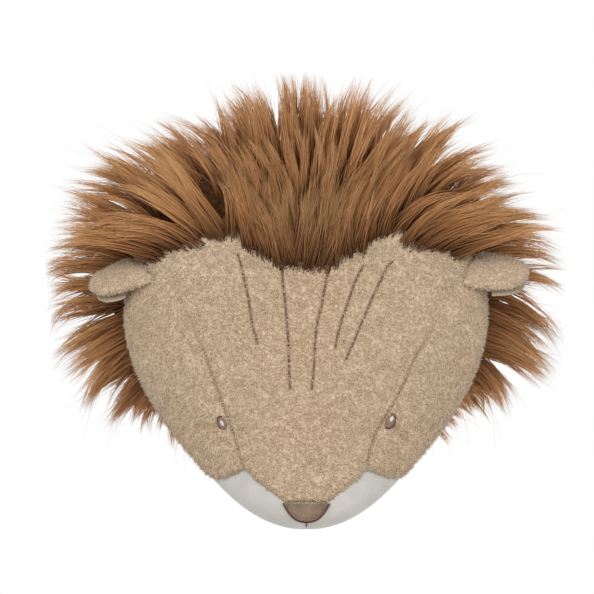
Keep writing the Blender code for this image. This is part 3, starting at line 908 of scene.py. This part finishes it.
def combLocks(roots, outs, shares):
    # each lock rises from the skin one way and sinks another, and ends where the real hair ends
    count = len(roots)
    spot = inPicture(roots)
    up = np.sin(np.radians(turnOf(spot)))
    crown = np.clip((up - 0.15) / 0.5, 0, 1)
    rise = np.arctan2(spot[:, 1] + maneLook["fanDrop"] * crown, spot[:, 0])
    rise += waver("riseWaver", roots) + rng.normal(0, maneLook["riseSpread"], count)
    under, side, top = maneLook["length"]
    length = np.where(up > 0, side + (top - side) * up, side + (under - side) * -up)
    least, added = maneLook["backRows"]
    length *= rng.uniform(*maneLook["lengthSpread"], count) * (least + added * shares)
    ahead = spot + 0.7 * length[:, None] * np.column_stack([np.cos(rise), np.sin(rise)])
    place = turnOf(ahead)
    fall = np.radians(place + readTable("sink", place))
    fall += waver("fallWaver", roots) + rng.normal(0, maneLook["fallSpread"], count)

    # the front rows of the crown lean back the most
    crown = np.clip(up * 1.6, 0, 1)[:, None]
    room = np.clip((-roots[:, 1] - 0.012) / 0.085, 0, 1)[:, None]
    backward = np.array([[0.0, 1.0, 0.0]])
    first = unit(outs * 0.40 + pointing(rise) * 0.80 + backward * 0.15 * room * crown)
    second = unit(
        pointing(fall) + outs * 0.05 + backward * (0.75 * room * crown + 0.15 * room)
        + rng.normal(0, 0.08, (count, 3))
    )
    elbows = roots + first * length[:, None] * maneLook["elbow"]
    tips = elbows + second * length[:, None] * (1 - maneLook["elbow"])

    # neighbours close up towards the lock in their middle
    guides = rng.choice(count, maneLook["tufts"], replace=False)
    apart = np.linalg.norm(roots[:, None, :] - roots[None, guides, :], axis=2)
    guide = guides[apart.argmin(axis=1)]
    flat = rng.random((count, 1)) < maneLook["flat"]
    pull = np.where(flat, maneLook["flatPull"], maneLook["tuftPull"] * rng.uniform(0.8, 1.2, (count, 1)))
    tips += (tips[guide] - tips) * pull
    elbows += (elbows[guide] - elbows) * pull * 0.35
    edge = np.clip(apart.min(axis=1) / maneLook["tuftSize"], 0, 1)[:, None] ** 2
    tips += (elbows - tips) * edge * 0.25

    # a tuft stops where the hair of the real head stops, and the back rows reach that far
    start, end = inPicture(roots), inPicture(tips)
    limit = readTable("reach", turnOf(end)) * rng.uniform(*maneLook["tuftReach"], count)[guide]
    limit = limit * rng.uniform(*maneLook["lockReach"], count)
    way = end - start
    b, a = (start * way).sum(axis=1), (way**2).sum(axis=1)
    gap = b**2 - a * ((start**2).sum(axis=1) - limit**2)
    fit = np.where(gap > 0, (-b + np.sqrt(np.maximum(gap, 0))) / a, 0.3)
    spread = np.clip((np.abs(np.cos(np.radians(turnOf(spot)))) - 0.6) / 0.3, 0, 1)
    fit = np.clip(fit, 0.28, np.where(shares > 0.45, 1.5, 1.0 + 0.5 * spread))[:, None]
    return roots + (elbows - roots) * fit, roots + (tips - roots) * fit


def keepClear(paths):
    # clear of the head and the ears, in front of the wall, and not far outside the collar's box
    clearance, stop, spare = maneLook["clearance"], maneLook["wallStop"], maneLook["spare"]
    flat = paths[:, 1:].reshape(-1, 3)
    for i, spot in enumerate(flat):
        place, normal, _, gap = bodyTree.find_nearest(Vector(spot))
        above = (Vector(spot) - place).dot(normal)
        if above < clearance and gap < 0.03:
            flat[i] = place + normal * clearance
    paths[:, 1:] = flat.reshape(len(paths), -1, 3)
    near = paths[:, :, 1]
    paths[:, :, 1] = np.where(near > stop, stop + 0.007 * np.tanh((near - stop) / 0.02), near)
    for axis in (0, 2):
        over = paths[:, :, axis] - cadHigh[axis]
        paths[:, :, axis] -= np.where(over > 0, over - spare * np.tanh(over / spare), 0)
        over = cadLow[axis] - paths[:, :, axis]
        paths[:, :, axis] += np.where(over > 0, over - spare * np.tanh(over / spare), 0)
    return paths


def growMane():
    roots, outs, shares = plantLocks()
    elbows, tips = combLocks(roots, outs, shares)
    count, per = len(roots), maneLook["strandsPerLock"]
    lock = np.repeat(np.arange(count), per)
    total = len(lock)

    size = rng.uniform(*maneLook["lockRadius"], count)[lock][:, None]
    across = unit(np.cross(outs[lock], rng.normal(size=(total, 3))))
    outer = np.sqrt(rng.random((total, 1)))
    starts = roots[lock] + across * size * outer
    seated = []
    for start in starts:
        place, normal, _, _ = cadTree.find_nearest(Vector(start))
        seated.append(place - normal * maneLook["clearance"])
    offsets = (np.array(seated) - roots[lock])[:, None, :]

    # strands follow their lock's curve for part of its length, and close in on it
    loose = (rng.random((total, 1)) < maneLook["loose"])[:, :, None]
    reach = 1.06 - 0.22 * outer[:, :, None] ** 2 - 0.38 * rng.random((total, 1, 1)) ** 1.6
    reach = reach * np.where(loose, 1.1, 1.0)
    gather = np.where(loose, 0.1, rng.uniform(*maneLook["gather"], (total, 1, 1)))
    t = np.array(maneLook["stations"])[None, :, None]
    along = t * reach
    root, elbow, tip = roots[lock][:, None, :], elbows[lock][:, None, :], tips[lock][:, None, :]
    paths = (1 - along) ** 2 * root + 2 * along * (1 - along) * elbow + along**2 * tip
    paths = paths + offsets * (1 - gather * along**0.6)
    stray = rng.normal(0, 1, (total, 1, 3)) * np.where(loose, *maneLook["stray"])
    paths = paths + stray * along**1.5
    sideways = unit(np.cross(tips - roots, outs + rng.normal(0, 0.4, (count, 3))))[lock][:, None, :]
    bend = (rng.uniform(-1, 1, count) * maneLook["bend"])[lock][:, None, None]
    phase = rng.uniform(0, 6.28, (total, 1, 1))
    ripple = maneLook["ripple"] * np.sin(along * 6 + phase) * t
    paths = paths + sideways * (bend * np.sin(along * math.pi * 1.5) * along + ripple)
    paths = keepClear(paths)
    loose = loose[:, 0]

    thick = maneLook["strandRadius"] * rng.uniform(0.7, 1.25, (total, 1)) * np.where(loose, 0.6, 1.0)
    radii = thick * np.array([maneLook["taper"]])

    # colour: dark at the root, partly the fur's own base colour and partly painted shade, golden along the
    # strand, sandy at the tip
    lockTone = (0.5 + 0.3 * wander(roots, 0.05, 3) + rng.uniform(-0.25, 0.25, count))[lock][:, None]
    own = np.clip(lockTone * 0.7 + rng.uniform(-0.1, 0.4, (total, 1)) + loose * 0.3, 0, 1)
    body = np.array(maneLook["darkTone"]) * (1 - own) + np.array(maneLook["goldTone"]) * own
    end = np.array(maneLook["goldTone"]) * (1 - own) + np.array(maneLook["sandTone"]) * own
    # painted shade: the front rows above the forehead, where the hair parts, are darkened
    partingShade = bell(roots[:, 0], maneLook["partingShadeWidth"]) * np.clip(1 - shares / 0.40, 0, 1)
    partingShade = partingShade * (roots[:, 2] > 0)
    body, end = body * (1 - 0.45 * partingShade[lock])[:, None], end * (1 - 0.20 * partingShade[lock])[:, None]
    root = np.array(maneLook["rootTone"]) + body * 0.1
    tones = np.stack([
        root, root * 0.65 + body * 0.35, root * 0.22 + body * 0.78, body * 0.4 + end * 0.6, end,
    ], axis=1)

    # four pieces, by where the locks grow
    turn = (np.degrees(np.arctan2(roots[:, 2], roots[:, 0])) % 360)[lock]
    groups = {
        "maneCrownLeft": (turn >= 90) & (turn < 140),
        "maneCrownRight": (turn >= 40) & (turn < 90),
        "maneSideLeft": (turn >= 140) & (turn < 265),
        "maneSideRight": (turn < 40) | (turn >= 265),
    }
    for name, mask in groups.items():
        piece = growStrands(name, paths[mask], radii[mask], tones[mask])
        settle(piece, "mane", slot="mane_fur", finish=maneFibre)


undercoatLook = {
    "voxel": 3.5 * mm,
    "smoothing": 14,
    "thickness": 1.5 * mm,             # as far as this it keeps its distance from the head
    "share": 0.36,                     # and beyond it only this share
    "tuck": 0.8 * mm,                  # it lies this deep under the plush at the hairline
    "tuckRange": (3 * mm, 22 * mm),
    # dark browns, partly painted shade of the deep fur
    "dark": tone(52, 31, 18),
    "light": tone(98, 63, 38),
}


def makeUndercoat():
    # the fabric and short hair under the locks, so that no wall shows through them; their dark brown is
    # partly their own colour and partly painted shade of the deep fur
    material, nodes, links, shader = newMaterial("undercoat", 0.9, specular=0.1)
    hairs = addNoise(nodes, links, 260, 4.0, 0.7)
    colour = addRamp(nodes, links, hairs, ((0.3, undercoatLook["dark"]), (0.7, undercoatLook["light"])))
    links.new(colour, shader.inputs["Base Color"])
    addBump(nodes, links, hairs, shader, 0.003, 0.8)
    voxel, smoothing = undercoatLook["voxel"], undercoatLook["smoothing"]
    piece = remeshed(newPiece("maneUndercoat", copyOfNode("mane")), voxel, smoothing)
    thickness, share, tuck = (undercoatLook[key] for key in ("thickness", "share", "tuck"))
    begin, over = undercoatLook["tuckRange"]
    pulled = []
    for spot in points(piece.data):
        place, normal, _, gap = cadTree.find_nearest(Vector(spot))
        front = float(hairlineDepth(np.array(math.atan2(spot[2], spot[0]))))
        clear = min(max((spot[1] - front - begin) / over, 0), 1)
        keep = (min(gap, thickness) + max(gap - thickness, 0) * share) * clear - tuck * (1 - clear)
        pulled.append(place + (Vector(spot) - place) * (keep / gap if gap > 1e-6 else 1.0))
    movePoints(piece.data, np.array(pulled))
    settle(piece, "mane", slot="mane_fur", finish=material)


makeUndercoat()
growMane()


# Nose, mouth and brow embroidery

def tube(name, places, radius):
    curve = bpy.data.curves.new(name, "CURVE")
    curve.dimensions = "3D"
    curve.bevel_depth = radius
    curve.bevel_resolution = 2
    curve.use_fill_caps = True
    spline = curve.splines.new("POLY")
    spline.points.add(len(places) - 1)
    for point, place in zip(spline.points, places):
        point.co = (*place, 1)
    mesh = meshOfCurve(curve)
    mesh.name = name
    mesh.shade_smooth()
    return linked(name, mesh)


def makeNose():
    for name, node, slot, finish, levels in (
        ("nosePatch", "nose", "nose_suede", suede, 2),
        ("noseEdging", "nose_edging", "dark_thread", edgeThread, 1),
    ):
        piece = newPiece(name, copyOfNode(node))
        subdivide = piece.modifiers.new("Subdivision", "SUBSURF")
        subdivide.levels = levels
        subdivide.render_levels = levels
        applyModifiers(piece)
        settle(piece, node, slot=slot, finish=finish)


stitchLook = {
    "browRadius": 0.6 * mm,
    "browLift": 0.4 * mm,
    "mouthRadius": 0.5 * mm,
    "mouthLift": 0.3 * mm,
    "mouthLine": ((0.0, -0.1122), (0.0, -0.1165), (0.0, -0.1206)),
}


def makeStitches():
    for number, line in enumerate(headLook["browLines"], 1):
        path = dropOnto(faceTree, smoothLine(line, 14), stitchLook["browLift"])
        piece = tube(f"browLine{number}", path, stitchLook["browRadius"])
        settle(piece, f"brow_stitch_{number}", slot="dark_thread", finish=browThread)
    path = dropOnto(muzzleTree, smoothLine(stitchLook["mouthLine"], 8), stitchLook["mouthLift"])
    piece = tube("mouthLine", path, stitchLook["mouthRadius"])
    settle(piece, "mouth_stitch", slot="dark_thread", finish=mouthThread)


makeNose()
makeStitches()


# Eyes: a raised oval of satin stitch with a dark rim and a white glint

eyeLook = {
    "halfWidth": 3.3 * mm,
    "halfHeight": 5.5 * mm,
    "dome": 2.2 * mm,
    "lean": 0.75,
    "lift": 0.4 * mm,
    "ridge": 0.08 * mm,                # height of the satin stitch's ridges
    "ridgePitch": 0.30 * mm,
    "rim": 0.65 * mm,
    "rimLift": 0.5 * mm,
    "rimTurns": (60, 300),
    "glint": (1.3 * mm, 2.1 * mm, 0.6 * mm),
    "glintPlace": {"Left": (1.3 * mm, 0.4 * mm), "Right": (-0.6 * mm, 1.8 * mm)},
}


def makeEye(word, side, spot):
    node = f"eye_{word.lower()}"
    wide, high, dome = eyeLook["halfWidth"], eyeLook["halfHeight"], eyeLook["dome"]
    place, normal, _, _ = faceTree.ray_cast(Vector((spot[0], -0.5, spot[1])), Vector((0, 1, 0)))
    upright = Vector((side * eyeLook["lean"], 0, 1))
    across = upright.cross(normal).normalized()
    tall = normal.cross(across)
    turn = Matrix((across, tall, normal)).transposed().to_4x4()
    seat = Matrix.Translation(place + normal * eyeLook["lift"]) @ turn

    bm = bmesh.new()
    bmesh.ops.create_uvsphere(bm, u_segments=40, v_segments=20, radius=1.0)
    bmesh.ops.scale(bm, vec=(wide, high, dome), verts=bm.verts)
    for vert in bm.verts:
        vert.co.z += eyeLook["ridge"] * math.sin(vert.co.y / eyeLook["ridgePitch"])
    bmesh.ops.transform(bm, matrix=seat, verts=bm.verts)
    eye = newPiece(f"eye{word}", bm)
    settle(eye, node, slot="eye_thread", finish=eyeThread)

    # the dark outline runs round the outer side and is open towards the nose
    ring = [
        seat @ Vector((side * -wide * math.cos(a), high * math.sin(a), eyeLook["rimLift"]))
        for a in np.linspace(*np.radians(eyeLook["rimTurns"]), 33)
    ]
    rim = tube(f"eyeRim{word}", ring, eyeLook["rim"])
    settle(rim, node, slot="dark_thread", finish=rimThread)

    bm = bmesh.new()
    bmesh.ops.create_uvsphere(bm, u_segments=20, v_segments=12, radius=1.0)
    bmesh.ops.scale(bm, vec=eyeLook["glint"], verts=bm.verts)
    x, y = eyeLook["glintPlace"][word]
    drop = 1 - (x / wide) ** 2 - (y / high) ** 2
    bmesh.ops.translate(bm, vec=(x, y, dome * math.sqrt(drop)), verts=bm.verts)
    bmesh.ops.transform(bm, matrix=seat, verts=bm.verts)
    glint = newPiece(f"eyeGlint{word}", bm)
    settle(glint, node, slot="white_velour", finish=whiteThread)


for word, side, spot in (("Left", -1, headLook["eyes"][0]), ("Right", 1, headLook["eyes"][1])):
    makeEye(word, side, spot)


# Ears: plush outside with a smooth lining in the cup

earLook = {
    "voxel": 1.5 * mm,
    "smoothing": 6,
    "liningVoxel": 0.9 * mm,
    "liningSmoothing": 5,
    "fill": 0.5,
}


def makeEars():
    for word in ("Left", "Right"):
        node, liningNode = f"ear_{word.lower()}", f"ear_lining_{word.lower()}"
        ear = remeshed(newPiece(f"ear{word}", copyOfNode(node)), earLook["voxel"], earLook["smoothing"])
        floatLayer(ear.data, "seamDepth", np.zeros(len(ear.data.vertices)))
        settle(ear, node, slot="plush", finish=plush)
        nap = growNap(
            f"ear{word}Nap", ear, napLook["ears"] // 2, lambda middles, out: np.ones(len(middles)),
            napLook["length"] * napLook["earShare"],
        )
        settle(nap, node, slot="plush", finish=napFibre)
        lining = newPiece(f"earLining{word}", copyOfNode(liningNode))
        remeshed(lining, earLook["liningVoxel"], earLook["liningSmoothing"])
        settle(lining, liningNode, slot="ear_lining", finish=liningCloth)


makeEars()


# The back: the felt panel and the tape loop

def makeBack():
    for name, node, slot, finish, edge in (
        ("backPanel", "back_panel", "felt", felt, 0.5 * mm),
        ("hangingLoop", "hanging_loop", "cotton_tape", tapeCloth, 0.3 * mm),
    ):
        piece = newPiece(name, copyOfNode(node), smooth=False)
        bevel = piece.modifiers.new("Bevel", "BEVEL")
        bevel.width = edge
        bevel.segments = 2
        bevel.limit_method = "ANGLE"
        applyModifiers(piece)
        settle(piece, node, slot=slot, finish=finish)


makeBack()
bpy.data.objects.remove(profileObject)
bpy.data.curves.remove(strandProfile)


# Studio: pale floor well below the head, soft white light, and the photograph's viewpoint

studioLook = {
    "floorHeight": -0.60,
    "distance": 1.6,
    "target": (-0.0065, -0.09, 0.019),
    "frameWidth": 0.428,
}


def makeStudio():
    scene = bpy.context.scene
    bm = bmesh.new()
    bmesh.ops.create_grid(bm, x_segments=1, y_segments=1, size=1.2)
    bmesh.ops.translate(bm, vec=(0, -0.5, studioLook["floorHeight"]), verts=bm.verts)
    floor = newPiece("floor", bm)
    material, _, _, shader = newMaterial("paleFloor", 0.8)
    shader.inputs["Base Color"].default_value = (0.86, 0.86, 0.85, 1)
    floor.data.materials.append(material)

    world = bpy.data.worlds.new("studio")
    world.use_nodes = True
    nodes, links = world.node_tree.nodes, world.node_tree.links
    nodes.clear()
    seen, lit = nodes.new("ShaderNodeBackground"), nodes.new("ShaderNodeBackground")
    seen.inputs["Color"].default_value = (1, 1, 1, 1)
    seen.inputs["Strength"].default_value = 1.0
    lit.inputs["Color"].default_value = (1.0, 0.99, 0.98, 1)
    lit.inputs["Strength"].default_value = 0.70
    path, mix = nodes.new("ShaderNodeLightPath"), nodes.new("ShaderNodeMixShader")
    output = nodes.new("ShaderNodeOutputWorld")
    links.new(path.outputs["Is Camera Ray"], mix.inputs[0])
    links.new(lit.outputs[0], mix.inputs[1])
    links.new(seen.outputs[0], mix.inputs[2])
    links.new(mix.outputs[0], output.inputs["Surface"])
    scene.world = world
    scene.view_settings.view_transform = "Standard"

    for name, place, size, power in (
        ("keyLight", (-0.7, -1.3, 1.3), 1.2, 14.0),
        ("fillLight", (1.1, -1.2, 0.5), 1.2, 6.0),
    ):
        data = bpy.data.lights.new(name, "AREA")
        data.size = size
        data.energy = power
        lamp = linked(name, data)
        lamp.location = place
        lamp.rotation_euler = (Vector((0, -0.08, 0)) - Vector(place)).to_track_quat("-Z", "Y").to_euler()

    look = Vector((0, math.cos(photoTilt), -math.sin(photoTilt)))
    data = bpy.data.cameras.new("camera")
    data.sensor_width = 36
    data.lens = 36 * studioLook["distance"] / studioLook["frameWidth"]
    data.clip_end = 20
    camera = linked("camera", data)
    camera.location = Vector(studioLook["target"]) - look * studioLook["distance"]
    camera.rotation_euler = look.to_track_quat("-Z", "Y").to_euler()
    scene.camera = camera


makeStudio()
total = sum(len(item.data.polygons) for item in bpy.data.objects if item.type == "MESH")
print("faces in all, with the solids", total)
